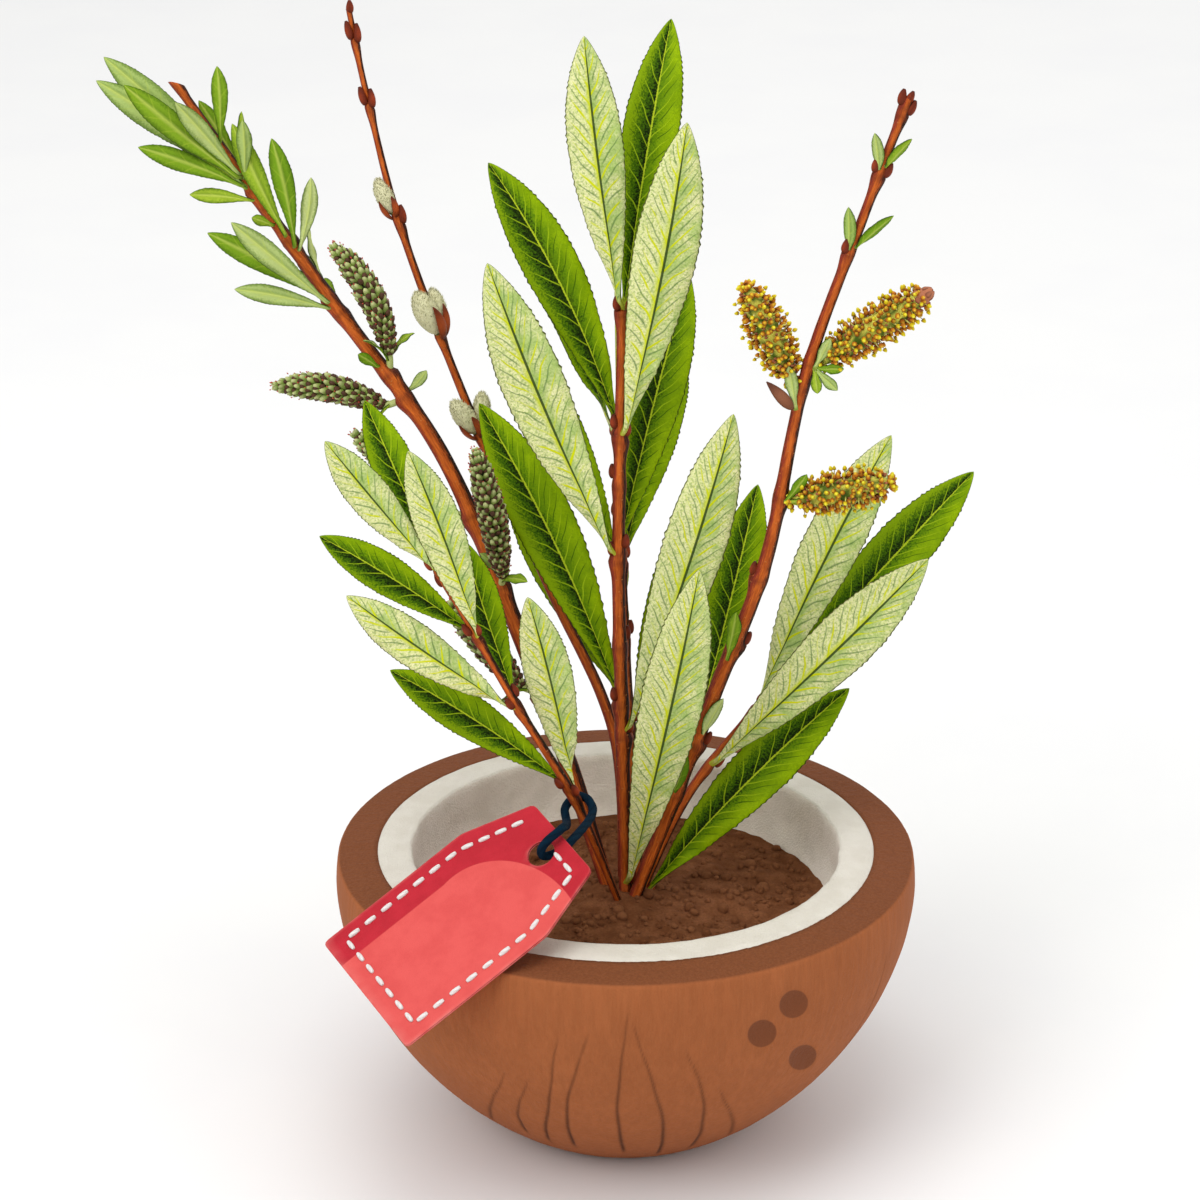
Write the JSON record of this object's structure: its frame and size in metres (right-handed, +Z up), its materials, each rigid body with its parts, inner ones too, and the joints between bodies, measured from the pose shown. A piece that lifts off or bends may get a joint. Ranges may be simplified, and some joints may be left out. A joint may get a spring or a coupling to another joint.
{
  "type": "potted willow",
  "caption": "Purple willow shoots with long leaves and catkins, planted in soil in a half coconut shell, with a plain label tied to one shoot.",
  "frame": {"origin": "centre of the bowl's flat underside", "axes": "+Z up along the plant, -Y towards the viewer of the picture, +X to the viewer's right"},
  "size_m": [0.2261, 0.1642, 0.2933],
  "materials": {
    "husk": "smooth brown coconut shell, fine fibres, matt",
    "flesh": "dry cream coconut flesh, faintly waxy",
    "soil": "crumbly brown potting soil, matt",
    "bark": "smooth orange-brown willow bark, satin",
    "foliage": "willow leaves, dark green above and pale underneath, with green, yellow and silver catkins",
    "card": "matt card in two reds with a white stitched border",
    "cord": "twisted dark blue cord"
  },
  "bodies": {
    "root": {"pot_husk": "husk", "pot_flesh": "flesh", "soil": "soil", "root_crown": "bark", "left_stem": "bark", "left_catkins": "foliage", "slim_stem": "bark", "slim_catkins": "foliage", "right_stem": "bark", "right_catkins": "foliage", "middle_foliage": "foliage", "right_shoot_foliage": "foliage", "left_shoot_foliage": "foliage", "back_shoot_foliage": "foliage", "label": "card", "label_tie": "cord"}
  },
  "joints": []
}
